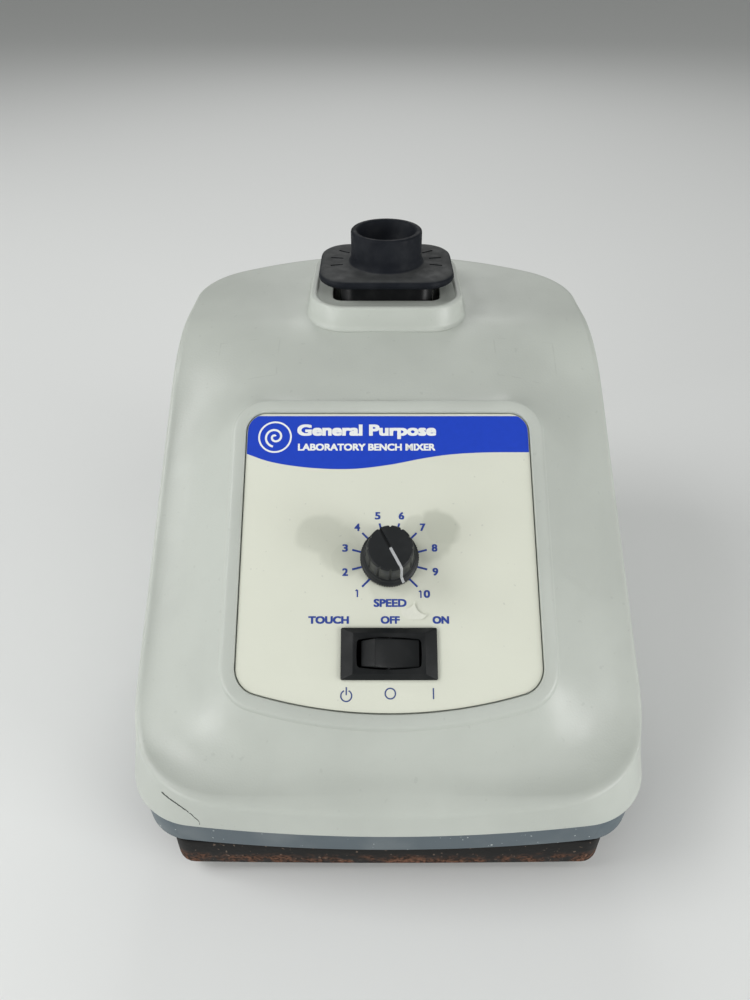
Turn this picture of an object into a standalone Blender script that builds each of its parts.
"""Vortex mixer: a sloped bench housing, a rubber cup head on an eccentric drive, and its motor and controls.

Frame: +X is the user's right, the front faces -Y, +Z is up. The origin is the centre of the footprint,
on the surface that the rubber feet stand on. Every size in this file is in millimetres and degrees;
add_object turns millimetres into Blender's metres.
"""

import math

import bmesh
import bpy
import numpy as np
from mathutils import Matrix, Vector

# ---- General ----
MM = 0.001
GAP = 0.3
NEAR_AXIS = 0.01
TINY = 1e-6
ROUND_STEPS = 32
SMALL_STEPS = 20

# ---- Housing, in plan ----
BODY_LENGTH = 222.8
BODY_HALF_WIDTH = 86.0
FRONT_Y = -BODY_LENGTH / 2
BACK_Y = BODY_LENGTH / 2
FRONT_RADIUS = 560.0
FRONT_HALF = 64.0
CREST_FRONT_HALF = 53.5
CREST_FRONT_INSET = 0.9
CREST_INSET = 0.5
BASE_HALF_WIDTH = 82.5
BASE_FRONT_HALF = 67.0
BASE_FRONT_RADIUS = 650.0
SIDE_HEADING = math.radians(92.2)
REAR_CORNER_RADIUS = 28.0
REAR_HEADING = math.radians(155.0)

# ---- Housing, heights ----
PLATE_BOTTOM_Z = 6.0
PLATE_TOP_Z = 19.9
BASE_BOTTOM_Z = 20.2
BASE_FLOOR_Z = 23.2
BASE_TOP_Z = 33.9
SPIGOT_TOP_Z = 38.0
LIP_Z = 34.2
WALL = 3.0
TOP_WALL = 3.6
FRONT_SHOULDER_Z = 46.0
CORNER_SHOULDER_RISE = 1.5
SIDE_DROP = 19.6
SHOULDER_RADIUS = 3.0
DECK_Z = 134.5
DECK_RISE = 0.03
DECK_CROWN = 2.5
DECK_HALF_WIDTH = 79.0
FLARE_POWER = 1.7

# ---- Control panel plane, whose local y runs up the slope and local z stands out of it ----
PANEL_SLOPE = math.radians(35.5)
PANEL_CENTRE = Vector((0.0, -47.4, 93.1))
PANEL_HALF_WIDTH = 49.6
PANEL_TOP = 53.1
PANEL_BOTTOM = -49.3
PANEL_BOTTOM_RADIUS = 158.0
PANEL_LOW_CORNER = 9.0
PANEL_HIGH_CORNER = 7.0
PANEL_THICKNESS = 1.2
PANEL_EDGE_GAP = 0.4
RIM_WIDTH = 4.5
RIM_FLANK = 1.0
RIM_HEIGHT = 0.8
RIM_ROOT = -2.2
PANEL_STEP = 1.0

# ---- Drive axis and head ----
AXIS_Y = 67.5
ORBIT = 2.45
HEAD_Y = AXIS_Y - ORBIT
COLLAR_BASE_HALF = 31.7
COLLAR_TOP_HALF = 29.9
COLLAR_CORNER = 15.0
COLLAR_TOP_Z = 144.7
COLLAR_ROOT_Z = 133.5
HOLE_HALF = 21.6
HOLE_CORNER = 4.0
LEDGE_HALF = 27.4
LEDGE_DEPTH = 0.8
NECK_HALF = 18.2
NECK_CORNER = 6.0
NECK_BOTTOM_Z = 126.0
NECK_TOP_Z = 147.9
WING_HALF = 26.5
WING_HALF_DEPTH = 21.5
WING_CORNER = 12.0
WING_BOTTOM_Z = 148.2
WING_TOP_Z = 152.7
CUP_TOP_Z = 165.3
CUP_RADIUS = 14.0
CUP_MOUTH_RADIUS = 11.6
CUP_WAIST_RADIUS = 9.2
CUP_FLOOR_RADIUS = 4.5
CUP_FLOOR_Z = 154.8
HUB_PEG_RADIUS = 6.0
HUB_PEG_TOP_Z = 151.4

# ---- Motor and eccentric ----
SHAFT_RADIUS = 4.0
SHAFT_BOTTOM_Z = 37.0
SHAFT_TOP_Z = 118.6
ROTOR_RADIUS = 17.0
WINDING_INNER = 18.0
WINDING_OUTER = 23.0
STATOR_HALF = 27.0
STATOR_BOTTOM_Z = 57.0
STATOR_TOP_Z = 87.0
BRACKET_HALF = 32.0
BRACKET_THICKNESS = 3.0
LOWER_BRACKET_Z = 43.0
UPPER_BRACKET_Z = 98.0
BOLT_OFFSET = 27.6
BEARING_HOUSING_RADIUS = 10.0
SLEEVE_OUTER = 7.0
CAM_BOTTOM_Z = 105.5
CAM_DISC_Z = 114.0
CAM_TOP_Z = 121.5
CAM_DISC_RADIUS = 17.0
CAM_HUB_RADIUS = 8.0
WEIGHT_RADIUS = 21.5
WEIGHT_THICKNESS = 6.0
HEAD_BEARING_RADIUS = 11.0
HEAD_BEARING_Z = (126.8, 133.5)
SHAFT_CHAMFER = 1.5
SLEEVE_CLEARANCE = 0.05
WINDING_OVERHANG = 6.0
STATOR_CORNER = 8.0
BRACKET_CORNER = 5.0
BOLT_HOLE_RADIUS = 2.2
BOLT_RADIUS = 1.8
BOLT_HEAD_RADIUS = 3.4
BOLT_HEAD_HEIGHT = 2.3
BOLT_TIP_Z = 35.0
MOUNT_FOOT_RADIUS = 7.0
MOUNT_WAIST_RADIUS = 5.2
MOUNT_TOP_RADIUS = 6.4
MOUNT_HOLE_RADIUS = 2.1
FAN_HUB_RADIUS = 7.0
FAN_HUB_Z = (49.3, 54.5)
FAN_BLADES = 6
FAN_BLADE_RADII = (6.0, 16.0)
FAN_BLADE_HALF = 0.7
FAN_BLADE_Z = (49.6, 54.2)
BOOT_WALL = 2.0
BOOT_HALF = 26.0
BOOT_NECK_HALF = 18.0
BOOT_NECK_INNER = 14.5
BOOT_SHOULDER_Z = 119.0

# ---- Touch mechanism ----
PLUNGER_STEM_RADIUS = 2.6
PLUNGER_BOTTOM_Z = 26.6
PLUNGER_HEAD_RADIUS = 7.0
PLUNGER_HEAD_HEIGHT = 3.0
FINGER_START = 6.0
FINGER_END = 14.0
FINGER_HALF = 1.5
FINGER_STEP = 0.6
GUIDE_BORE_RADIUS = 3.0
GUIDE_FLANGE_RADIUS = 9.5
GUIDE_FLANGE_TOP_Z = 25.3
GUIDE_TUBE_RADIUS = 3.9
GUIDE_TUBE_TOP_Z = 28.6
SPRING_RADIUS = 5.6
SPRING_WIRE_RADIUS = 0.6
SPRING_BOTTOM_Z = 26.5
SPRING_HEADROOM = 3.9
SPRING_TURNS = 3
TOUCH_SWITCH_LOW_X = 16.0
TOUCH_SWITCH_HIGH_X = 28.5
TOUCH_SWITCH_HALF = 3.2
TOUCH_SWITCH_TOP_Z = 30.6
LEVER_EAR_X = (23.2, 26.8)
LEVER_EAR_Z = (30.0, 34.2)
LEVER_EAR_THICKNESS = 1.2
LEVER_PIVOT = (25.0, AXIS_Y, 32.5)
LEVER_LOW = (-14.0, -1.6, 0.0)
LEVER_HIGH = (1.4, 1.6, 0.6)

# ---- Speed control ----
KNOB_SKIRT_RADIUS = 9.75
KNOB_SKIRT_HEIGHT = 4.4
KNOB_CAP_RADIUS = 7.2
KNOB_HEIGHT = 16.0
KNOB_PLACE = (0.3, 0.6)
KNOB_SKIRT_LIP = 2.0
KNOB_TAPER = 0.8
KNOB_GROOVES = 12
KNOB_GROOVE_DEPTH = 0.45
KNOB_STEPS = 72
KNOB_CAVITY_RADIUS = 7.6
KNOB_CAVITY_HEIGHT = 3.0
KNOB_CLEARANCE = 0.6
KNOB_BORE_TOP = 13.1
PANEL_HOLE_RADIUS = 4.2
POT_BUSHING_RADIUS = 3.9
POT_BUSHING_TOP = 1.6
POT_SHAFT_RADIUS = 3.0
POT_SHAFT_TOP = 12.7
POT_TOP = -4.2
POT_DEPTH = 9.5
POT_RADIUS = 8.5
POT_LUGS = ((-6.0, -14.5), (6.0, -6.0))
POT_LUG_HEIGHTS = (-6.6, -5.1)
NUT_RADIUS = 6.6
NUT_THICKNESS = 1.6

# ---- Rocker switch ----
SWITCH_Y = -30.55
BEZEL_HALF = (15.5, 8.25)
BEZEL_EDGE = 0.7
BEZEL_TOP_HALF = (11.9, 6.6)
BEZEL_HEIGHT = 2.3
SWITCH_OPENING = (10.25, 5.0)
SWITCH_BODY = (13.0, 6.6)
SWITCH_CAVITY = (11.9, 5.0)
SWITCH_BODY_DEPTH = 19.0
SWITCH_FLOOR = 2.0
ROCKER_PIVOT_HEIGHT = -6.1
ROCKER_TILT = 15.0
ROCKER_HALF_WIDTH = 4.6
ROCKER_HALF_LENGTH = 7.3
ROCKER_HEIGHT = 9.85
ROCKER_DISH = 1.3
ROCKER_FLANK = ((10.5, 5.0), (10.3, 3.4), (3.2, -3.2))
ROCKER_FOOT = -4.2
PIVOT_PIN_RADIUS = 1.0
PIVOT_PIN_HALF = 5.8
PIVOT_HOLE_HALF = 6.0
TERMINAL_XS = (-8.0, 0.0, 8.0)
TERMINAL_HALF = (0.4, 2.4)
TERMINAL_LENGTH = 8.5

# ---- Base ----
PLATE_HALF_WIDTH = 72.5
PLATE_FRONT_Y = -106.0
PLATE_BACK_Y = 103.0
PLATE_FRONT_HALF = 66.0
PLATE_FRONT_RADIUS = 4000.0
PLATE_SIDE_HEADING = math.radians(91.0)
FOOT_RADIUS = 11.0
FOOT_SEAT_DEPTH = 2.0
FOOT_ROUNDING = 1.4
FOOT_PLACES = (
    ("front_left", -54, -88),
    ("front_right", 54, -88),
    ("rear_left", -50, 74),
    ("rear_right", 50, 74),
)
BASE_SETBACK = 1.2
BASE_LEAN = 3.0
SPIGOT_INSETS = (5.3, 6.2)
BOSS_RADIUS = 4.5
BOSS_HOLE_RADIUS = 2.0
SCREW_RADIUS = 1.7
SCREW_HEAD_RADIUS = 3.4
SCREW_SLOT_RADIUS = 1.1
SCREW_SLOT_DEPTH = 0.8
SCREW_SEAT_DEPTH = 5.0
SCREW_HEAD_Z = 8.0
SCREW_TOP_Z = 44.0
BOSS_PLACES = (
    ("front_left", -66, -72),
    ("front_right", 66, -72),
    ("rear_left", -62, 56),
    ("rear_right", 62, 56),
)
BOSS_HOLE_TOP_Z = 46.0
BOSS_SKIN = 1.6

# ---- Mains inlet, in a flat facet of the rounded back ----
INLET_X = -49.5
INLET_Z = 58.0
FACET_Y = 97.6
INLET_HALF = (13.4, 10.0)
INLET_FLANGE_HALF = (15.2, 12.2)
INLET_SOCKET_HALF = (11.8, 8.0)
INLET_SOCKET_DEPTH = 15.0
INLET_SOCKET_CHAMFER = 4.0
INLET_FLANGE_THICKNESS = 2.2
INLET_DEPTH = 19.0
INLET_PINS = (("neutral", -7.0, -1.5), ("earth", 0.0, 2.5), ("line", 7.0, -1.5))
INLET_PIN_HALF = (1.0, 2.0)
INLET_PIN_LENGTH = 11.5
FACET_MARGIN = 0.8

# ---- Circuit board ----
BOARD_Z = 29.0
BOARD_THICKNESS = 1.6
BOARD_HALF_WIDTH = 48.0
BOARD_Y = (-88.0, -26.0)
BOARD_POSTS = ((-42, -82), (42, -82), (-42, -32), (42, -32))
BOARD_POST_RADIUS = 3.0
PARTS_Z = 30.9
HEATSINK = ((-38.0, -50.0), (-8.0, -47.5))
HEATSINK_HEIGHT = 17.0
FIN_COUNT = 5
FIN_PITCH = 7.2
FIN_FRONT_Y = -39.0
FIN_THICKNESS = 1.4
CAPACITOR = ((12.0, -46.0), (34.0, -37.0))
CAPACITOR_HEIGHT = 13.0
CHOKE_PLACE = (-26.0, -70.0)
CHOKE_RADII = (4.0, 9.0)
CHOKE_HEIGHT = 7.5
TERMINAL_BLOCK = ((10.0, -84.0), (38.0, -75.0))
TERMINAL_BLOCK_HEIGHT = 10.0
FUSE_PLACE = (22.0, -61.0)
FUSE_RADIUS = 2.6
FUSE_HALF = 10.0
FUSE_LIFT = 3.2

# ---- Colours: red, green, blue, then roughness and metallic ----
COVER_GREY = (0.47, 0.50, 0.46, 0.45, 0.0)
BASE_BLUE_GREY = (0.13, 0.16, 0.19, 0.55, 0.0)
PLATE_BLACK = (0.03, 0.028, 0.026, 0.7, 0.3)
PANEL_CREAM = (0.67, 0.69, 0.56, 0.5, 0.0)
BLACK_PLASTIC = (0.028, 0.03, 0.032, 0.4, 0.0)
BLACK_RUBBER = (0.02, 0.02, 0.022, 0.75, 0.0)
STEEL = (0.55, 0.55, 0.56, 0.35, 1.0)
LAMINATION = (0.25, 0.25, 0.27, 0.5, 0.9)
COPPER = (0.72, 0.33, 0.16, 0.4, 1.0)
BRASS = (0.75, 0.58, 0.28, 0.35, 1.0)
BOARD_GREEN = (0.03, 0.18, 0.08, 0.5, 0.0)
WHITE_NYLON = (0.75, 0.75, 0.72, 0.5, 0.0)
CAPACITOR_YELLOW = (0.7, 0.5, 0.08, 0.5, 0.0)


# ---------------------------------------------------------------- scene and materials


def clear_scene():
    for obj in list(bpy.data.objects):
        bpy.data.objects.remove(obj, do_unlink=True)


def make_material(name, look):
    red, green, blue, roughness, metallic = look
    material = bpy.data.materials.new(name)
    material.use_nodes = True
    shader = material.node_tree.nodes["Principled BSDF"]
    shader.inputs["Base Color"].default_value = (red, green, blue, 1.0)
    shader.inputs["Roughness"].default_value = roughness
    shader.inputs["Metallic"].default_value = metallic
    material.diffuse_color = (red, green, blue, 1.0)
    return material


# ---------------------------------------------------------------- meshes


def add_object(name, bm, look=None, frame=None):
    """Makes an object from a mesh in millimetres. frame is its place, also in millimetres."""
    bmesh.ops.remove_doubles(bm, verts=bm.verts, dist=0.0005)
    bmesh.ops.recalc_face_normals(bm, faces=bm.faces)
    bmesh.ops.scale(bm, vec=(MM, MM, MM), verts=bm.verts)
    mesh = bpy.data.meshes.new(name)
    bm.to_mesh(mesh)
    bm.free()
    mesh.shade_smooth()
    mesh.set_sharp_from_angle(angle=math.radians(35))
    obj = bpy.data.objects.new(name, mesh)
    bpy.context.scene.collection.objects.link(obj)
    if look is not None:
        mesh.materials.append(make_material(name + "_material", look))
    if frame is not None:
        place = frame.copy()
        place.translation = place.translation * MM
        obj.matrix_world = place
    return obj


def at(x, y, z):
    return Matrix.Translation((x, y, z))


def skin(rings, closed=False):
    """Joins rings of equal length with quads. An open skin gets a flat cap at each end."""
    bm = bmesh.new()
    made = [[bm.verts.new(point) for point in ring] for ring in rings]
    pairs = list(zip(made, made[1:]))
    if closed:
        pairs.append((made[-1], made[0]))
    count = len(rings[0])
    for low, high in pairs:
        for i in range(count):
            j = (i + 1) % count
            bm.faces.new((low[i], low[j], high[j], high[i]))
    if not closed:
        bm.faces.new(made[0])
        bm.faces.new(made[-1])
    return bm


def level(loop, z):
    return [(x, y, z) for x, y in loop]


def prism(loop, low, high):
    return skin([level(loop, low), level(loop, high)])


def circle(radius, steps=ROUND_STEPS, centre=(0.0, 0.0)):
    turns = [2 * math.pi * i / steps for i in range(steps)]
    return [(centre[0] + radius * math.cos(a), centre[1] + radius * math.sin(a)) for a in turns]


def turned(profile, steps=ROUND_STEPS):
    """A solid of revolution about Z, from (radius, z) points that start and end next to the axis."""
    return skin([level(circle(radius, steps), z) for radius, z in profile])


def ring(inner, outer, low, high, steps=ROUND_STEPS):
    corners = ((inner, low), (outer, low), (outer, high), (inner, high))
    return skin([level(circle(radius, steps), z) for radius, z in corners], closed=True)


def rounded_rectangle(half_x, half_y, radius, steps=5, centre=(0.0, 0.0)):
    points = []
    for quadrant in range(4):
        cos_q = round(math.cos(math.pi / 4 + quadrant * math.pi / 2), 9)
        sin_q = round(math.sin(math.pi / 4 + quadrant * math.pi / 2), 9)
        corner_x = centre[0] + math.copysign(half_x - radius, cos_q)
        corner_y = centre[1] + math.copysign(half_y - radius, sin_q)
        for i in range(steps + 1):
            angle = quadrant * math.pi / 2 + (math.pi / 2) * i / steps
            points.append((corner_x + radius * math.cos(angle), corner_y + radius * math.sin(angle)))
    return points


def block(low, high):
    """A box between two opposite corners."""
    loop = [(low[0], low[1]), (high[0], low[1]), (high[0], high[1]), (low[0], high[1])]
    return prism(loop, low[2], high[2])


def side_prism(outline, low, high):
    """Extrudes an outline drawn in the local X-Z plane along local Y."""
    return skin([[(x, low, z) for x, z in outline], [(x, high, z) for x, z in outline]])


# ---------------------------------------------------------------- Boolean helpers


def helper(bm, frame=None):
    obj = add_object("helper_%03d" % len(bpy.data.objects), bm, None, frame)
    obj.hide_render = True
    obj.display_type = "WIRE"
    return obj


def combine(target, operation, bm, frame=None):
    modifier = target.modifiers.new(operation.lower(), "BOOLEAN")
    modifier.operation = operation
    modifier.solver = "EXACT"
    modifier.object = helper(bm, frame)


def cut(target, bm, frame=None):
    combine(target, "DIFFERENCE", bm, frame)


def join(target, bm, frame=None):
    combine(target, "UNION", bm, frame)


# ---------------------------------------------------------------- outlines made of arcs


def arc_end(x, y, radius, start, end):
    """Follows an arc that turns left from one heading to another, and returns where it ends."""
    return x + radius * (math.sin(end) - math.sin(start)), y + radius * (math.cos(start) - math.cos(end))


def arc_centre(x, y, radius, heading):
    return x - radius * math.sin(heading), y + radius * math.cos(heading)


def footprint_arcs(front_y, back_y, half_width, front_half, front_radius, side):
    """The right half of a footprint, front to back, as (centre x, centre y, radius, two headings, steps).

    The front bows with front_radius as far out as front_half, a corner turns into a straight side that
    leans in at the heading side, and a rear corner turns into one wide arc across the back.
    """
    front_turn = math.asin(front_half / front_radius)
    x1, y1 = arc_end(0.0, front_y, front_radius, 0.0, front_turn)
    corner = (half_width - x1) / (1 - math.sin(front_turn))
    x2, y2 = arc_end(x1, y1, corner, front_turn, side)
    rear_dx, rear_dy = arc_end(0.0, 0.0, REAR_CORNER_RADIUS, side, REAR_HEADING)
    lean = (1 + math.cos(REAR_HEADING)) / math.sin(REAR_HEADING)
    rest = back_y - y2 - rear_dy - lean * (x2 + rear_dx)
    length = rest / (math.sin(side) + lean * math.cos(side))
    x3, y3 = x2 + length * math.cos(side), y2 + length * math.sin(side)
    x4, y4 = x3 + rear_dx, y3 + rear_dy
    back_radius = x4 / math.sin(REAR_HEADING)
    return (
        (*arc_centre(0.0, front_y, front_radius, 0.0), front_radius, 0.0, front_turn, 5),
        (*arc_centre(x1, y1, corner, front_turn), corner, front_turn, side, 7),
        (*arc_centre(x3, y3, REAR_CORNER_RADIUS, side), REAR_CORNER_RADIUS, side, REAR_HEADING, 5),
        (*arc_centre(x4, y4, back_radius, REAR_HEADING), back_radius, REAR_HEADING, math.pi, 5),
    )


def body_arcs():
    return footprint_arcs(FRONT_Y, BACK_Y, BODY_HALF_WIDTH, FRONT_HALF, FRONT_RADIUS, SIDE_HEADING)


def crest_arcs():
    """The edge between the top and the side walls. Its front corners are rounder than those of the lip."""
    return footprint_arcs(FRONT_Y + CREST_FRONT_INSET, BACK_Y - CREST_INSET, BODY_HALF_WIDTH - CREST_INSET,
                          CREST_FRONT_HALF, FRONT_RADIUS, SIDE_HEADING)


def base_arcs():
    """The bottom edge of the tray, which has the squarest corners."""
    return footprint_arcs(FRONT_Y + BASE_LEAN, BACK_Y - BASE_LEAN, BASE_HALF_WIDTH, BASE_FRONT_HALF,
                          BASE_FRONT_RADIUS, SIDE_HEADING)


def plate_arcs():
    return footprint_arcs(PLATE_FRONT_Y, PLATE_BACK_Y, PLATE_HALF_WIDTH, PLATE_FRONT_HALF,
                          PLATE_FRONT_RADIUS, PLATE_SIDE_HEADING)


def panel_arcs():
    """The right half of the panel's outline, bottom to top, with a bowed bottom edge."""
    turn = math.asin((PANEL_HALF_WIDTH - PANEL_LOW_CORNER) / (PANEL_BOTTOM_RADIUS - PANEL_LOW_CORNER))
    x1, y1 = arc_end(0.0, PANEL_BOTTOM, PANEL_BOTTOM_RADIUS, 0.0, turn)
    top_x, top_y = PANEL_HALF_WIDTH - PANEL_HIGH_CORNER, PANEL_TOP - PANEL_HIGH_CORNER
    return (
        (*arc_centre(0.0, PANEL_BOTTOM, PANEL_BOTTOM_RADIUS, 0.0), PANEL_BOTTOM_RADIUS, 0.0, turn, 4),
        (*arc_centre(x1, y1, PANEL_LOW_CORNER, turn), PANEL_LOW_CORNER, turn, math.pi / 2, 4),
        (top_x, top_y, PANEL_HIGH_CORNER, math.pi / 2, math.pi, 4),
    )


def outline(arcs, inset=0.0):
    """The closed loop of an outline moved inwards by inset, the same number of points for every inset."""
    right = []
    for centre_x, centre_y, radius, start, end, steps in arcs:
        for i in range(steps + 1):
            heading = start + (end - start) * i / steps
            reach = radius - inset
            right.append((centre_x + reach * math.sin(heading), centre_y - reach * math.cos(heading)))
    right = subdivide_straights(right)
    off_axis = [point for point in right if point[0] > TINY]
    left = [(-x, y) for x, y in reversed(off_axis)]
    back = [(0.0, right[-1][1])] if right[-1][0] < TINY else []
    return off_axis + back + left + [(0.0, right[0][1])]


def subdivide_straights(points, longest=30.0):
    """Adds evenly spaced points along the straight stretches, and drops a point that repeats another."""
    result = [points[0]]
    for x, y in points[1:]:
        from_x, from_y = result[-1]
        length = math.hypot(x - from_x, y - from_y)
        if length < TINY:
            continue
        pieces = 6 if length > longest else 1
        for i in range(1, pieces + 1):
            result.append((from_x + (x - from_x) * i / pieces, from_y + (y - from_y) * i / pieces))
    return result


# ---------------------------------------------------------------- the housing's top surface


def panel_plane_z(y):
    return PANEL_CENTRE.z + (y - PANEL_CENTRE.y) * math.tan(PANEL_SLOPE)


def smooth_min(a, b, reach):
    overlap = max(reach - abs(a - b), 0.0) / reach
    return min(a, b) - overlap * overlap * reach / 4


def smooth_max(a, b, reach):
    return -smooth_min(-a, -b, reach)


def distance_to_loop(x, y, loop):
    """Shortest distance from a point to a closed loop of points."""
    points = np.array(loop)
    steps = np.roll(points, -1, axis=0) - points
    offset = np.array((x, y)) - points
    along = np.clip((offset * steps).sum(axis=1) / (steps * steps).sum(axis=1), 0.0, 1.0)
    nearest = points + steps * along[:, None]
    return float(np.hypot(*(np.array((x, y)) - nearest).T).min())


def inside_loop(x, y, loop):
    inside = False
    for (x1, y1), (x2, y2) in zip(loop, loop[1:] + loop[:1]):
        if (y1 > y) != (y2 > y) and x < x1 + (y - y1) * (x2 - x1) / (y2 - y1):
            inside = not inside
    return inside


def deck_z(x, y):
    return DECK_Z + DECK_RISE * y - DECK_CROWN * (x / DECK_HALF_WIDTH) ** 2


def low_shoulder_z(x, y):
    """The edge between the top and the side walls, before it bends over into the deck."""
    front = FRONT_SHOULDER_Z + CORNER_SHOULDER_RISE * (x / FRONT_HALF) ** 2
    return smooth_max(front, panel_plane_z(y) - SIDE_DROP, 6.0)


def shoulder_z(x, y):
    return smooth_min(low_shoulder_z(x, y), deck_z(x, y), 12.0)


def rim_loop_in_plan():
    loop = outline(panel_arcs(), -RIM_WIDTH)
    return [(x, PANEL_CENTRE.y + s * math.cos(PANEL_SLOPE)) for x, s in loop]


def cover_z(x, y, rim_loop, edge_loop):
    """Height of the cover's outer surface: it sweeps from the panel's rim down to the shoulder."""
    shoulder = low_shoulder_z(x, y)
    near_panel = panel_plane_z(y) - PANEL_STEP
    from_rim = 0.0 if inside_loop(x, y, rim_loop) else distance_to_loop(x, y, rim_loop)
    to_edge = distance_to_loop(x, y, edge_loop)
    share = from_rim / (from_rim + to_edge) if from_rim > 0 else 0.0
    swept = shoulder + (near_panel - shoulder) * (1 - share) ** FLARE_POWER
    return smooth_min(swept, deck_z(x, y), 10.0)


def top_rings(edge, shares, drop):
    """Rings of the top surface, scaled in from an edge loop and lowered by drop."""
    rim = rim_loop_in_plan()
    border = outline(crest_arcs(), SHOULDER_RADIUS)
    rings = []
    for share in shares:
        loop = [(x * share, y * share) for x, y in edge]
        rings.append([(x, y, cover_z(x, y, rim, border) - drop) for x, y in loop])
    return rings


def cover_shell():
    """The moulded shell, as one skin from the middle of its inside, round its lower lip, to its top."""
    crest = crest_arcs()
    inner_edge = outline(crest, WALL + SHOULDER_RADIUS)
    outer_edge = outline(crest, SHOULDER_RADIUS)
    inner_crest = outline(crest, WALL)
    rounded = outline(crest, SHOULDER_RADIUS * 0.3)
    rings = top_rings(inner_edge, (0.04, 0.2, 0.4, 0.6, 0.78, 0.92, 1.0), TOP_WALL)
    rings.append([(x, y, shoulder_z(x, y) - SHOULDER_RADIUS - TOP_WALL) for x, y in inner_crest])
    rings.append(level(outline(body_arcs(), WALL), LIP_Z))
    rings.append(level(outline(body_arcs()), LIP_Z))
    rings.append([(x, y, shoulder_z(x, y) - SHOULDER_RADIUS) for x, y in outline(crest)])
    rings.append([(x, y, shoulder_z(x, y) - SHOULDER_RADIUS * 0.3) for x, y in rounded])
    rings += top_rings(outer_edge, (1.0, 0.96, 0.9, 0.81, 0.7, 0.58, 0.44, 0.3, 0.15, 0.04), 0.0)
    return skin(rings)


# ---------------------------------------------------------------- housing pieces

PANEL_FRAME = Matrix.Translation(PANEL_CENTRE) @ Matrix.Rotation(PANEL_SLOPE, 4, "X")


def add_panel_seat(cover):
    """The raised rim round the panel, and the shallow pocket that the panel lies in."""
    low = level(outline(panel_arcs(), -RIM_WIDTH - RIM_FLANK), RIM_ROOT)
    high = level(outline(panel_arcs(), -RIM_WIDTH), RIM_HEIGHT)
    join(cover, skin([low, high]), PANEL_FRAME)
    pocket = prism(outline(panel_arcs()), -PANEL_THICKNESS - GAP, RIM_HEIGHT + 2)
    cut(cover, pocket, PANEL_FRAME)
    cut_panel_holes(cover)


def cut_panel_holes(target):
    """The holes for the potentiometer's bushing and for the switch's body."""
    cut(target, prism(circle(PANEL_HOLE_RADIUS, centre=KNOB_PLACE), -12, 2), PANEL_FRAME)
    opening = rounded_rectangle(SWITCH_BODY[0] + GAP, SWITCH_BODY[1] + GAP, 1.0, 2, (0, SWITCH_Y))
    cut(target, prism(opening, -12, 2), PANEL_FRAME)


def add_collar(cover):
    """The raised collar that the head's neck comes up through."""
    centre = (0.0, AXIS_Y)
    root = rounded_rectangle(COLLAR_BASE_HALF, COLLAR_BASE_HALF, COLLAR_CORNER, 6, centre)
    top = rounded_rectangle(COLLAR_TOP_HALF, COLLAR_TOP_HALF, COLLAR_CORNER, 6, centre)
    join(cover, skin([level(root, COLLAR_ROOT_Z), level(top, COLLAR_TOP_Z)]))
    ledge = rounded_rectangle(LEDGE_HALF, LEDGE_HALF, COLLAR_CORNER - 2.5, 6, centre)
    cut(cover, prism(ledge, COLLAR_TOP_Z - LEDGE_DEPTH, COLLAR_TOP_Z + 4))
    hole = rounded_rectangle(HOLE_HALF, HOLE_HALF, HOLE_CORNER, 4, centre)
    cut(cover, prism(hole, COLLAR_ROOT_Z - 12, COLLAR_TOP_Z + 4))


def back_wall_y(x, inset):
    """Where the back wall is at x, that far inside its outer face."""
    back = sorted(point for point in outline(body_arcs(), inset) if point[1] > 0)
    return float(np.interp(x, [px for px, _ in back], [py for _, py in back]))


def add_inlet_facet(cover):
    """A thickened wall behind the mains inlet, cut flat outside and opened for the inlet's body."""
    half_x, half_z = INLET_FLANGE_HALF[0] + FACET_MARGIN, INLET_FLANGE_HALF[1] + FACET_MARGIN
    low = (INLET_X - half_x, FACET_Y - WALL, INLET_Z - half_z)
    high = (INLET_X + half_x, FACET_Y, INLET_Z + half_z)
    loop = [(low[0] - 1, low[1]), (high[0] + 1, low[1])]
    for share in (0.0, 0.25, 0.5, 0.75, 1.0):
        x = high[0] + 1 - share * (high[0] - low[0] + 2)
        loop.append((x, back_wall_y(x, 1.5)))
    join(cover, prism(loop, low[2] - 1, high[2] + 1))
    cut(cover, block((low[0], FACET_Y, low[2]), (high[0], BACK_Y + 5, high[2])))
    low = (INLET_X - INLET_HALF[0] - GAP, FACET_Y - WALL - 6, INLET_Z - INLET_HALF[1] - GAP)
    high = (INLET_X + INLET_HALF[0] + GAP, FACET_Y + 6, INLET_Z + INLET_HALF[1] + GAP)
    cut(cover, block(low, high))


def add_bosses(cover):
    """Hollow posts that hang from the shell and take the screws that come up through the base."""
    rim = rim_loop_in_plan()
    border = outline(crest_arcs(), SHOULDER_RADIUS)
    for _, x, y in BOSS_PLACES:
        top = min(cover_z(px, py, rim, border) for px, py in circle(BOSS_RADIUS, 8, (x, y))) - BOSS_SKIN
        join(cover, prism(circle(BOSS_RADIUS, SMALL_STEPS), BASE_FLOOR_Z + 1, top), at(x, y, 0))
        cut(cover, prism(circle(BOSS_HOLE_RADIUS, 12), BASE_FLOOR_Z, BOSS_HOLE_TOP_Z), at(x, y, 0))


def make_upper_cover():
    cover = add_object("upper_cover", cover_shell(), COVER_GREY)
    add_panel_seat(cover)
    add_collar(cover)
    add_bosses(cover)
    add_inlet_facet(cover)
    return cover


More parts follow.
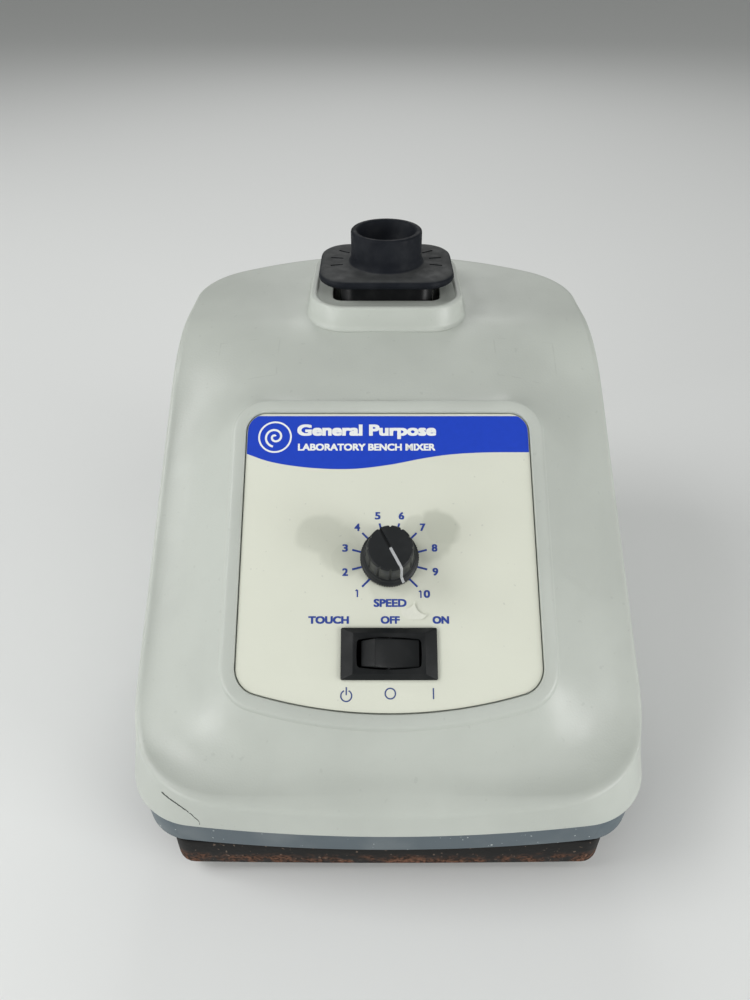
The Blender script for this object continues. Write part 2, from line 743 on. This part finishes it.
def make_base_housing():
    """The tray under the cover: its wall leans in towards the bottom, and a spigot fits inside the cover."""
    steps = (
        (base_arcs(), 0.0, BASE_BOTTOM_Z),
        (body_arcs(), BASE_SETBACK, BASE_TOP_Z),
        (body_arcs(), WALL + GAP, BASE_TOP_Z),
        (crest_arcs(), WALL + GAP, SPIGOT_TOP_Z),
        (crest_arcs(), SPIGOT_INSETS[0], SPIGOT_TOP_Z),
        (body_arcs(), SPIGOT_INSETS[1], BASE_FLOOR_Z),
    )
    rings = [level(outline(arcs, inset), z) for arcs, inset, z in steps]
    base = add_object("base_housing", skin(rings), BASE_BLUE_GREY)
    for _, x, y in BOSS_PLACES:
        cut(base, prism(circle(BOSS_HOLE_RADIUS, 12), BASE_BOTTOM_Z - 5, BASE_FLOOR_Z + 5), at(x, y, 0))
    for x, y in BOARD_POSTS:
        join(base, prism(circle(BOARD_POST_RADIUS, 12), BASE_FLOOR_Z - 1, BOARD_Z - GAP), at(x, y, 0))
    return base


def make_weight_plate():
    """The heavy plate under the tray. The feet sit in shallow seats, the screw heads in deeper ones."""
    steps = ((1.0, PLATE_BOTTOM_Z), (0.0, PLATE_BOTTOM_Z + 1), (0.0, PLATE_TOP_Z))
    rings = [level(outline(plate_arcs(), inset), z) for inset, z in steps]
    plate = add_object("base_weight_plate", skin(rings), PLATE_BLACK)
    for _, x, y in BOSS_PLACES:
        cut(plate, prism(circle(BOSS_HOLE_RADIUS, 12), 0, PLATE_TOP_Z + 5), at(x, y, 0))
        seat = prism(circle(SCREW_HEAD_RADIUS + 2 * GAP, 16), 0, PLATE_BOTTOM_Z + SCREW_SEAT_DEPTH)
        cut(plate, seat, at(x, y, 0))
    for _, x, y in FOOT_PLACES:
        cut(plate, prism(circle(FOOT_RADIUS + GAP, 24), 0, PLATE_BOTTOM_Z + FOOT_SEAT_DEPTH), at(x, y, 0))
    return plate


def make_foot(place, x, y):
    """A rubber foot bonded into its seat in the plate."""
    top = PLATE_BOTTOM_Z + FOOT_SEAT_DEPTH - GAP
    profile = ((FOOT_RADIUS - FOOT_ROUNDING, 0.0), (FOOT_RADIUS, FOOT_ROUNDING), (FOOT_RADIUS, top))
    return add_object("foot_" + place, turned(profile, 24), BLACK_RUBBER, at(x, y, 0))


def make_cover_screw(place, x, y):
    """A pan-head screw that stands head down in its seat and reaches up into a boss of the cover."""
    seat = PLATE_BOTTOM_Z + SCREW_SEAT_DEPTH - GAP
    profile = (
        (NEAR_AXIS, SCREW_HEAD_Z + SCREW_SLOT_DEPTH),
        (SCREW_SLOT_RADIUS, SCREW_HEAD_Z + SCREW_SLOT_DEPTH),
        (SCREW_SLOT_RADIUS, SCREW_HEAD_Z),
        (SCREW_HEAD_RADIUS - 0.5, SCREW_HEAD_Z),
        (SCREW_HEAD_RADIUS, SCREW_HEAD_Z + 0.5),
        (SCREW_HEAD_RADIUS, seat),
        (SCREW_RADIUS, seat),
        (SCREW_RADIUS, SCREW_TOP_Z - 1.0),
        (SCREW_RADIUS - 0.8, SCREW_TOP_Z),
        (NEAR_AXIS, SCREW_TOP_Z),
    )
    return add_object("cover_screw_" + place, turned(profile, 12), STEEL, at(x, y, 0))


def make_control_panel():
    sheet = prism(outline(panel_arcs(), PANEL_EDGE_GAP), -PANEL_THICKNESS, 0.0)
    panel = add_object("control_panel", sheet, PANEL_CREAM, PANEL_FRAME)
    cut_panel_holes(panel)
    return panel


# ---------------------------------------------------------------- speed control


KNOB_FRAME = PANEL_FRAME @ at(*KNOB_PLACE, 0)


def grip_ring(radius, z):
    """A ring of the knob's grip: a circle with narrow grooves at even steps round it."""
    points = []
    for i in range(KNOB_STEPS):
        angle = 2 * math.pi * i / KNOB_STEPS
        in_groove = i % (KNOB_STEPS // KNOB_GROOVES) == 0
        reach = radius - KNOB_GROOVE_DEPTH * in_groove
        points.append((reach * math.cos(angle), reach * math.sin(angle), z))
    return points


def make_knob():
    """A skirted, grooved knob on the potentiometer's shaft, hollow underneath for the nut."""
    low = KNOB_CLEARANCE
    top = low + KNOB_HEIGHT
    rings = [
        level(circle(KNOB_SKIRT_RADIUS, KNOB_STEPS), low),
        level(circle(KNOB_SKIRT_RADIUS, KNOB_STEPS), low + KNOB_SKIRT_LIP),
        level(circle(KNOB_SKIRT_RADIUS - 0.5, KNOB_STEPS), low + KNOB_SKIRT_LIP + 0.6),
        level(circle(KNOB_CAP_RADIUS + KNOB_TAPER + 0.1, KNOB_STEPS), low + KNOB_SKIRT_HEIGHT),
        grip_ring(KNOB_CAP_RADIUS + KNOB_TAPER, low + KNOB_SKIRT_HEIGHT + 0.3),
        grip_ring(KNOB_CAP_RADIUS + 0.1, top - 0.5),
        grip_ring(KNOB_CAP_RADIUS - 0.4, top),
    ]
    knob = add_object("speed_knob", skin(rings), BLACK_PLASTIC, KNOB_FRAME)
    cut(knob, prism(circle(KNOB_CAVITY_RADIUS, 24), low - 1, low + KNOB_CAVITY_HEIGHT), KNOB_FRAME)
    cut(knob, prism(circle(POT_SHAFT_RADIUS + GAP, 20), low - 1, KNOB_BORE_TOP), KNOB_FRAME)
    return knob


def make_potentiometer():
    """The potentiometer behind the panel: its body with a threaded bushing, its shaft and its nut."""
    can = prism(circle(POT_RADIUS, 24), POT_TOP - POT_DEPTH, POT_TOP)
    body = add_object("potentiometer_body", can, LAMINATION, KNOB_FRAME)
    join(body, prism(circle(POT_BUSHING_RADIUS, 24), POT_TOP - 1, POT_BUSHING_TOP), KNOB_FRAME)
    lug_low, lug_high = POT_LUG_HEIGHTS
    join(body, block((*POT_LUGS[0], lug_low), (*POT_LUGS[1], lug_high)), KNOB_FRAME)
    cut(body, prism(circle(POT_SHAFT_RADIUS + GAP, 20), POT_TOP - 6, 5), KNOB_FRAME)
    rod = prism(circle(POT_SHAFT_RADIUS, 20), POT_TOP - 5.6, POT_SHAFT_TOP)
    shaft = add_object("potentiometer_shaft", rod, BRASS, KNOB_FRAME)
    hexagon = prism(circle(NUT_RADIUS, 6), GAP, GAP + NUT_THICKNESS)
    nut = add_object("potentiometer_nut", hexagon, STEEL, KNOB_FRAME)
    cut(nut, prism(circle(POT_BUSHING_RADIUS + 0.4, 24), -2, 4), KNOB_FRAME)
    return shaft


# ---------------------------------------------------------------- rocker switch

SWITCH_FRAME = PANEL_FRAME @ at(0, SWITCH_Y, 0)
ROCKER_PIVOT = SWITCH_FRAME @ at(0, 0, ROCKER_PIVOT_HEIGHT)
ACROSS = Matrix.Rotation(math.pi / 2, 4, "X")


def switch_loop(half, corner):
    return rounded_rectangle(half[0], half[1], corner, 2)


def make_switch_housing():
    """The snap-in switch body, with a sloped bezel and an open well for the rocker."""
    rings = [
        level(switch_loop(BEZEL_HALF, 0.8), GAP),
        level(switch_loop(BEZEL_HALF, 0.8), GAP + BEZEL_EDGE),
        level(switch_loop(BEZEL_TOP_HALF, 0.8), BEZEL_HEIGHT),
    ]
    housing = add_object("switch_housing", skin(rings), BLACK_PLASTIC, SWITCH_FRAME)
    join(housing, prism(switch_loop(SWITCH_BODY, 0.8), -SWITCH_BODY_DEPTH, GAP + 0.4), SWITCH_FRAME)
    cut(housing, prism(switch_loop(SWITCH_OPENING, 0.5), -1.5, BEZEL_HEIGHT + 2), SWITCH_FRAME)
    cavity = prism(switch_loop(SWITCH_CAVITY, 0.4), SWITCH_FLOOR - SWITCH_BODY_DEPTH, -0.2)
    cut(housing, cavity, SWITCH_FRAME)
    hole = prism(circle(PIVOT_PIN_RADIUS + GAP, 12), -PIVOT_HOLE_HALF, PIVOT_HOLE_HALF)
    cut(housing, hole, ROCKER_PIVOT @ ACROSS)
    return housing


def rocker_outline():
    """The rocker from the side, about its pivot, level: a dished top between two slanted ends."""
    top = []
    steps = 10
    for i in range(steps + 1):
        share = 1 - 2 * i / steps
        top.append((ROCKER_HALF_LENGTH * share, ROCKER_HEIGHT - ROCKER_DISH * (1 - share ** 2)))
    right = [(x, z) for x, z in reversed(ROCKER_FLANK)]
    left = [(-x, z) for x, z in ROCKER_FLANK]
    return [(0.0, ROCKER_FOOT)] + right + top + left


def make_rocker():
    frame = ROCKER_PIVOT @ Matrix.Rotation(math.radians(ROCKER_TILT), 4, "Y")
    shape = side_prism(rocker_outline(), -ROCKER_HALF_WIDTH, ROCKER_HALF_WIDTH)
    rocker = add_object("switch_rocker", shape, BLACK_PLASTIC, frame)
    cut(rocker, prism(circle(PIVOT_PIN_RADIUS + GAP, 12), -6, 6), frame @ ACROSS)
    return rocker


def make_pivot_pin():
    rod = prism(circle(PIVOT_PIN_RADIUS, 12), -PIVOT_PIN_HALF, PIVOT_PIN_HALF)
    return add_object("switch_pivot_pin", rod, STEEL, ROCKER_PIVOT @ ACROSS)


def make_switch_terminals():
    half_x, half_y = TERMINAL_HALF
    high = -SWITCH_BODY_DEPTH - GAP
    low = -SWITCH_BODY_DEPTH - TERMINAL_LENGTH
    for number, x in enumerate(TERMINAL_XS, 1):
        blade = block((x - half_x, -half_y, low), (x + half_x, half_y, high))
        add_object("switch_terminal_%d" % number, blade, BRASS, SWITCH_FRAME)


# ---------------------------------------------------------------- head and eccentric drive


def make_cup_head():
    """One rubber moulding: a round cup on a wide wing plate with rounded corners."""
    steps = (
        (1.6, WING_BOTTOM_Z),
        (0.0, WING_BOTTOM_Z + 1.6),
        (0.0, WING_TOP_Z - 1.2),
        (1.2, WING_TOP_Z),
    )
    rings = []
    for inset, z in steps:
        loop = rounded_rectangle(WING_HALF - inset, WING_HALF_DEPTH - inset, WING_CORNER - inset, 5)
        rings.append(level(loop, z))
    frame = at(0, HEAD_Y, 0)
    head = add_object("cup_head", skin(rings), BLACK_RUBBER, frame)
    cup = (
        (CUP_RADIUS + 0.6, WING_TOP_Z - 1.5),
        (CUP_RADIUS + 0.4, WING_TOP_Z + 1.0),
        (CUP_RADIUS, WING_TOP_Z + 2.5),
        (CUP_RADIUS, CUP_TOP_Z - 0.8),
        (CUP_RADIUS - 0.8, CUP_TOP_Z),
    )
    join(head, turned(cup, 36), frame)
    bowl = (
        (CUP_FLOOR_RADIUS, CUP_FLOOR_Z),
        (CUP_WAIST_RADIUS, CUP_FLOOR_Z + 4.0),
        (CUP_MOUTH_RADIUS, CUP_TOP_Z),
        (CUP_MOUTH_RADIUS, CUP_TOP_Z + 2.0),
    )
    cut(head, turned(bowl, 36), frame)
    cut(head, prism(circle(HUB_PEG_RADIUS + GAP, 24), WING_BOTTOM_Z - 2, HUB_PEG_TOP_Z + GAP), frame)
    return head


def make_head_carrier():
    """The square neck: the cup presses onto its peg, and the eccentric's bearing sits inside it."""
    frame = at(0, HEAD_Y, 0)
    neck = rounded_rectangle(NECK_HALF, NECK_HALF, NECK_CORNER, 5)
    carrier = add_object("head_carrier", prism(neck, NECK_BOTTOM_Z, NECK_TOP_Z), BLACK_PLASTIC, frame)
    join(carrier, prism(circle(HUB_PEG_RADIUS, 24), NECK_TOP_Z - 1, HUB_PEG_TOP_Z), frame)
    bore = prism(circle(HEAD_BEARING_RADIUS + GAP, 24), NECK_BOTTOM_Z - 2, HEAD_BEARING_Z[1] + GAP)
    cut(carrier, bore, frame)
    return carrier


def make_head_bearing():
    bm = ring(SHAFT_RADIUS + GAP, HEAD_BEARING_RADIUS, HEAD_BEARING_Z[0], HEAD_BEARING_Z[1], 28)
    return add_object("head_bearing", bm, STEEL, at(0, HEAD_Y, 0))


def make_eccentric_cam():
    """The hub on the motor's shaft, its disc, and the pin that stands off centre."""
    profile = (
        (CAM_HUB_RADIUS, CAM_BOTTOM_Z),
        (CAM_HUB_RADIUS, CAM_DISC_Z),
        (CAM_DISC_RADIUS, CAM_DISC_Z),
        (CAM_DISC_RADIUS, CAM_TOP_Z),
    )
    cam = add_object("eccentric_cam", turned(profile), STEEL, at(0, AXIS_Y, 0))
    shoulder = HEAD_BEARING_Z[0] - GAP
    pin = (
        (SHAFT_RADIUS + 2, CAM_TOP_Z - 1),
        (SHAFT_RADIUS + 2, shoulder),
        (SHAFT_RADIUS, shoulder),
        (SHAFT_RADIUS, HEAD_BEARING_Z[1] - GAP),
    )
    join(cam, turned(pin, 24), at(0, HEAD_Y, 0))
    cut(cam, prism(circle(SHAFT_RADIUS + GAP, 24), CAM_BOTTOM_Z - 2, SHAFT_TOP_Z + GAP), at(0, AXIS_Y, 0))
    return cam


def half_ring(inner, outer, start, end, steps=14):
    turns = [start + (end - start) * i / steps for i in range(steps + 1)]
    outside = [(outer * math.cos(a), outer * math.sin(a)) for a in turns]
    inside = [(inner * math.cos(a), inner * math.sin(a)) for a in reversed(turns)]
    return outside + inside


def make_counterweight():
    """A half ring under the disc, on the side away from the pin."""
    loop = half_ring(CAM_HUB_RADIUS + GAP, WEIGHT_RADIUS, 0.0, math.pi)
    bm = prism(loop, CAM_DISC_Z - WEIGHT_THICKNESS, CAM_DISC_Z - GAP)
    return add_object("counterweight", bm, BRASS, at(0, AXIS_Y, 0))


def make_anti_rotation_boot():
    """A square rubber sleeve from the motor's top to the neck: the head can orbit but not turn."""
    centre = (0.0, AXIS_Y)
    head = (0.0, HEAD_Y)
    low = UPPER_BRACKET_Z + BRACKET_THICKNESS + GAP
    high = NECK_BOTTOM_Z - GAP
    steps = (
        (BOOT_HALF, low, centre),
        (BOOT_HALF, BOOT_SHOULDER_Z, centre),
        (BOOT_NECK_HALF, high, head),
        (BOOT_NECK_INNER, high, head),
        (BOOT_HALF - BOOT_WALL, BOOT_SHOULDER_Z - 1.5, centre),
        (BOOT_HALF - BOOT_WALL, low, centre),
    )
    rings = [level(rounded_rectangle(half, half, half * 0.35, 4, middle), z) for half, z, middle in steps]
    return add_object("anti_rotation_boot", skin(rings, closed=True), BLACK_RUBBER)


# ---------------------------------------------------------------- motor


def make_motor_shaft():
    steps = (
        (SHAFT_RADIUS - SHAFT_CHAMFER, SHAFT_BOTTOM_Z),
        (SHAFT_RADIUS, SHAFT_BOTTOM_Z + SHAFT_CHAMFER),
        (SHAFT_RADIUS, SHAFT_TOP_Z),
    )
    return add_object("motor_shaft", turned(steps, 24), STEEL, at(0, AXIS_Y, 0))


def make_rotor():
    core = ring(SHAFT_RADIUS + GAP, ROTOR_RADIUS, STATOR_BOTTOM_Z, STATOR_TOP_Z)
    return add_object("rotor_core", core, LAMINATION, at(0, AXIS_Y, 0))


def make_fan():
    """A small cooling fan on the shaft, between the rotor and the lower bracket."""
    frame = at(0, AXIS_Y, 0)
    hub = ring(SHAFT_RADIUS + GAP, FAN_HUB_RADIUS, *FAN_HUB_Z, 20)
    fan = add_object("cooling_fan", hub, WHITE_NYLON, frame)
    inner, outer = FAN_BLADE_RADII
    low, high = FAN_BLADE_Z
    for i in range(FAN_BLADES):
        turn = Matrix.Rotation(2 * math.pi * i / FAN_BLADES, 4, "Z")
        blade = block((-FAN_BLADE_HALF, inner, low), (FAN_BLADE_HALF, outer, high))
        join(fan, blade, frame @ turn)
    return fan


def make_stator():
    """The laminated stack with its round bore, and the winding inside it that stands out at both ends."""
    frame = at(0, AXIS_Y, 0)
    square = rounded_rectangle(STATOR_HALF, STATOR_HALF, STATOR_CORNER, 4)
    stator = add_object("stator_core", prism(square, STATOR_BOTTOM_Z, STATOR_TOP_Z), LAMINATION, frame)
    cut(stator, prism(circle(WINDING_OUTER + GAP), STATOR_BOTTOM_Z - 2, STATOR_TOP_Z + 2), frame)
    low, high = STATOR_BOTTOM_Z - WINDING_OVERHANG, STATOR_TOP_Z + WINDING_OVERHANG
    add_object("stator_winding", ring(WINDING_INNER, WINDING_OUTER, low, high), COPPER, frame)


def make_bracket(name, low, housing):
    """An end plate with a round bearing housing, which reaches from housing[0] to housing[1]."""
    frame = at(0, AXIS_Y, 0)
    plate = rounded_rectangle(BRACKET_HALF, BRACKET_HALF, BRACKET_CORNER, 3)
    bracket = add_object(name, prism(plate, low, low + BRACKET_THICKNESS), STEEL, frame)
    join(bracket, prism(circle(BEARING_HOUSING_RADIUS, 24), housing[0], housing[1]), frame)
    cut(bracket, prism(circle(SLEEVE_OUTER + GAP, 24), housing[0] - 2, housing[1] + 2), frame)
    for _, x, y in motor_corners():
        cut(bracket, prism(circle(BOLT_HOLE_RADIUS, 12), low - 2, low + 6), at(x, y, 0))
    return bracket


def make_sleeve_bearing(name, low, high):
    bm = ring(SHAFT_RADIUS + SLEEVE_CLEARANCE, SLEEVE_OUTER, low, high, 24)
    return add_object(name, bm, BRASS, at(0, AXIS_Y, 0))


def motor_corners():
    for fore, y in (("front", -BOLT_OFFSET), ("rear", BOLT_OFFSET)):
        for side, x in (("left", -BOLT_OFFSET), ("right", BOLT_OFFSET)):
            yield "%s_%s" % (fore, side), x, AXIS_Y + y


def make_motor_bolt(place, x, y):
    """A long bolt that ties the two brackets together and stands in the rubber mount below."""
    seat = UPPER_BRACKET_Z + BRACKET_THICKNESS + GAP
    profile = (
        (NEAR_AXIS, BOLT_TIP_Z),
        (BOLT_RADIUS, BOLT_TIP_Z),
        (BOLT_RADIUS, seat),
        (BOLT_HEAD_RADIUS, seat),
        (BOLT_HEAD_RADIUS, seat + BOLT_HEAD_HEIGHT),
        (NEAR_AXIS, seat + BOLT_HEAD_HEIGHT),
    )
    return add_object("motor_bolt_" + place, turned(profile, 12), STEEL, at(x, y, 0))


def make_motor_mount(place, x, y):
    """A waisted rubber mount on the tray's floor that carries a corner of the motor."""
    low, high = BASE_FLOOR_Z + GAP, LOWER_BRACKET_Z - GAP
    profile = (
        (NEAR_AXIS, low),
        (MOUNT_FOOT_RADIUS, low),
        (MOUNT_FOOT_RADIUS, low + 3),
        (MOUNT_WAIST_RADIUS, low + 5),
        (MOUNT_WAIST_RADIUS, high - 5),
        (MOUNT_TOP_RADIUS, high - 3),
        (MOUNT_TOP_RADIUS, high),
        (MOUNT_HOLE_RADIUS, high),
        (MOUNT_HOLE_RADIUS, BOLT_TIP_Z - 1),
        (NEAR_AXIS, BOLT_TIP_Z - 1),
    )
    return add_object("motor_mount_" + place, turned(profile, 12), BLACK_RUBBER, at(x, y, 0))


# ---------------------------------------------------------------- touch mechanism

PLUNGER_TOP_Z = SHAFT_BOTTOM_Z - GAP


def make_plunger():
    """The plunger that the shaft stands on, with a finger that works the microswitch."""
    collar = PLUNGER_TOP_Z - PLUNGER_HEAD_HEIGHT
    profile = (
        (NEAR_AXIS, PLUNGER_BOTTOM_Z),
        (PLUNGER_STEM_RADIUS, PLUNGER_BOTTOM_Z),
        (PLUNGER_STEM_RADIUS, collar),
        (PLUNGER_HEAD_RADIUS, collar),
        (PLUNGER_HEAD_RADIUS, PLUNGER_TOP_Z),
        (NEAR_AXIS, PLUNGER_TOP_Z),
    )
    frame = at(0, AXIS_Y, 0)
    plunger = add_object("thrust_plunger", turned(profile, 24), WHITE_NYLON, frame)
    low = (FINGER_START, -FINGER_HALF, collar)
    high = (FINGER_END, FINGER_HALF, PLUNGER_TOP_Z - FINGER_STEP)
    join(plunger, block(low, high), frame)
    return plunger


def make_plunger_guide():
    """A flanged tube on the tray's floor that the plunger's stem slides in."""
    profile = (
        (GUIDE_BORE_RADIUS, BASE_FLOOR_Z + GAP),
        (GUIDE_FLANGE_RADIUS, BASE_FLOOR_Z + GAP),
        (GUIDE_FLANGE_RADIUS, GUIDE_FLANGE_TOP_Z),
        (GUIDE_TUBE_RADIUS, GUIDE_FLANGE_TOP_Z),
        (GUIDE_TUBE_RADIUS, GUIDE_TUBE_TOP_Z),
        (GUIDE_BORE_RADIUS, GUIDE_TUBE_TOP_Z),
    )
    bm = skin([level(circle(radius, 24), z) for radius, z in profile], closed=True)
    return add_object("plunger_guide", bm, WHITE_NYLON, at(0, AXIS_Y, 0))


def make_touch_spring():
    """The spring that lifts the plunger, and with it the shaft and the head."""
    high = PLUNGER_TOP_Z - SPRING_HEADROOM
    coil = coil_tube(SPRING_RADIUS, SPRING_WIRE_RADIUS, SPRING_BOTTOM_Z, high, SPRING_TURNS)
    return add_object("touch_spring", coil, STEEL, at(0, AXIS_Y, 0))


def coil_tube(radius, wire, low, high, turns, steps=14, sides=5):
    """A round-wire compression spring about Z."""
    rings = []
    count = turns * steps
    rise = (high - low) / (2 * math.pi * turns)
    lean = math.atan2(rise, radius)
    for i in range(count + 1):
        angle = 2 * math.pi * i / steps
        out = Vector((math.cos(angle), math.sin(angle), 0))
        round_coil = Vector((-math.sin(angle), math.cos(angle), 0))
        along = round_coil * math.cos(lean) + Vector((0, 0, math.sin(lean)))
        up = out.cross(along)
        middle = out * radius + Vector((0, 0, low + (high - low) * i / count))
        section = circle(wire, sides)
        rings.append([tuple(middle + out * a + up * b) for a, b in section])
    return skin(rings)


def make_touch_switch():
    """The microswitch's body beside the plunger, with two ears that carry its lever."""
    low = (TOUCH_SWITCH_LOW_X, -TOUCH_SWITCH_HALF, BASE_FLOOR_Z + GAP)
    high = (TOUCH_SWITCH_HIGH_X, TOUCH_SWITCH_HALF, TOUCH_SWITCH_TOP_Z)
    frame = at(0, AXIS_Y, 0)
    body = add_object("touch_switch", block(low, high), BLACK_PLASTIC, frame)
    for y in (-TOUCH_SWITCH_HALF, TOUCH_SWITCH_HALF - LEVER_EAR_THICKNESS):
        low = (LEVER_EAR_X[0], y, LEVER_EAR_Z[0])
        high = (LEVER_EAR_X[1], y + LEVER_EAR_THICKNESS, LEVER_EAR_Z[1])
        join(body, block(low, high), frame)
    return body


def make_touch_lever():
    return add_object("touch_switch_lever", block(LEVER_LOW, LEVER_HIGH), STEEL, at(*LEVER_PIVOT))


# ---------------------------------------------------------------- mains inlet and circuit board


def wall_block(half, low_y, high_y):
    """A box centred on the local Y axis, with its half sizes in X and Z."""
    return block((-half[0], low_y, -half[1]), (half[0], high_y, half[1]))


def make_inlet():
    """A three-pin mains inlet, open to the back, with a thin flange on the facet."""
    frame = at(INLET_X, FACET_Y + GAP, INLET_Z)
    flange = wall_block(INLET_FLANGE_HALF, 0, INLET_FLANGE_THICKNESS)
    inlet = add_object("power_inlet", flange, BLACK_PLASTIC, frame)
    join(inlet, wall_block(INLET_HALF, -INLET_DEPTH, 1.0), frame)
    half_x, half_z = INLET_SOCKET_HALF
    slant = INLET_SOCKET_CHAMFER
    right = [(half_x, -half_z), (half_x, half_z - slant), (half_x - slant, half_z)]
    left = [(-x, z) for x, z in reversed(right)]
    floor = INLET_FLANGE_THICKNESS - INLET_SOCKET_DEPTH
    cut(inlet, side_prism(right + left, floor, 5), frame)
    half_x, half_z = INLET_PIN_HALF
    for name, x, z in INLET_PINS:
        low = (x - half_x, floor + GAP, z - half_z)
        high = (x + half_x, floor + INLET_PIN_LENGTH, z + half_z)
        add_object("inlet_pin_" + name, block(low, high), BRASS, frame)


def board_block(plan, height, low=PARTS_Z):
    """A box that stands on the circuit board. plan is two opposite corners."""
    return block((*plan[0], low), (*plan[1], low + height))


def make_board():
    """The speed controller's board, lying on the tray's posts."""
    low_y, high_y = BOARD_Y
    plan = ((-BOARD_HALF_WIDTH, low_y), (BOARD_HALF_WIDTH, high_y))
    add_object("circuit_board", board_block(plan, BOARD_THICKNESS, BOARD_Z), BOARD_GREEN)


def make_heatsink():
    """A plate with upright fins, behind the triac."""
    heatsink = add_object("triac_heatsink", board_block(HEATSINK, HEATSINK_HEIGHT), LAMINATION)
    back_y = HEATSINK[0][1] + 2.0
    for i in range(FIN_COUNT):
        x = HEATSINK[0][0] + 0.5 + i * FIN_PITCH
        plan = ((x, back_y), (x + FIN_THICKNESS, FIN_FRONT_Y))
        join(heatsink, board_block(plan, HEATSINK_HEIGHT - 3.0, PARTS_Z + 3.0))


def make_board_parts():
    add_object("film_capacitor", board_block(CAPACITOR, CAPACITOR_HEIGHT), CAPACITOR_YELLOW)
    add_object("choke_coil", ring(*CHOKE_RADII, 0, CHOKE_HEIGHT, 24), COPPER, at(*CHOKE_PLACE, PARTS_Z))
    add_object("terminal_block", board_block(TERMINAL_BLOCK, TERMINAL_BLOCK_HEIGHT), BOARD_GREEN)
    lying = at(*FUSE_PLACE, PARTS_Z + FUSE_LIFT) @ Matrix.Rotation(math.pi / 2, 4, "Y")
    add_object("fuse", prism(circle(FUSE_RADIUS, 16), -FUSE_HALF, FUSE_HALF), WHITE_NYLON, lying)


# ---------------------------------------------------------------- joints


def joint_empty(name, frame, pieces):
    """An empty on a joint's axis, which carries the pieces that the joint moves."""
    empty = bpy.data.objects.new(name, None)
    place = frame.copy()
    place.translation = place.translation * MM
    empty.matrix_world = place
    bpy.context.scene.collection.objects.link(empty)
    for piece in pieces:
        piece.parent = empty
        piece.matrix_parent_inverse = place.inverted()
    return empty


def make_housing():
    make_upper_cover()
    make_base_housing()
    make_weight_plate()
    for foot in FOOT_PLACES:
        make_foot(*foot)
    for boss in BOSS_PLACES:
        make_cover_screw(*boss)
    make_control_panel()


def make_controls():
    joint_empty("speed_turn_axis", KNOB_FRAME, [make_knob(), make_potentiometer()])
    make_switch_housing()
    joint_empty("rocker_axis", ROCKER_PIVOT, [make_rocker()])
    make_pivot_pin()
    make_switch_terminals()
    make_inlet()
    make_board()
    make_heatsink()
    make_board_parts()


def make_motor():
    make_stator()
    make_bracket("lower_bracket", LOWER_BRACKET_Z, (LOWER_BRACKET_Z - 3, LOWER_BRACKET_Z + 4.5))
    make_bracket("upper_bracket", UPPER_BRACKET_Z, (UPPER_BRACKET_Z - 2.5, UPPER_BRACKET_Z + 5))
    make_sleeve_bearing("lower_bearing", LOWER_BRACKET_Z - 2.5, LOWER_BRACKET_Z + 4.2)
    make_sleeve_bearing("upper_bearing", UPPER_BRACKET_Z - 2.2, UPPER_BRACKET_Z + 4.7)
    for corner in motor_corners():
        make_motor_bolt(*corner)
        make_motor_mount(*corner)
    make_anti_rotation_boot()


def make_drive():
    """The plunger moves up and down, the rotor turns on it, and the head orbits on the rotor's pin."""
    press = joint_empty("touch_press_axis", at(0, AXIS_Y, 0), [make_plunger()])
    turning = [make_eccentric_cam(), make_counterweight(), make_motor_shaft(), make_rotor(), make_fan()]
    spin = joint_empty("drive_spin_axis", at(0, AXIS_Y, 0), turning)
    head = [make_cup_head(), make_head_carrier(), make_head_bearing()]
    orbit = joint_empty("head_orbit_axis", at(0, HEAD_Y, 0), head)
    spin.parent = press
    spin.matrix_parent_inverse = press.matrix_world.inverted()
    orbit.parent = spin
    orbit.matrix_parent_inverse = spin.matrix_world.inverted()
    make_plunger_guide()
    make_touch_spring()
    make_touch_switch()
    joint_empty("lever_axis", at(*LEVER_PIVOT), [make_touch_lever()])


def main():
    clear_scene()
    make_housing()
    make_controls()
    make_motor()
    make_drive()


main()
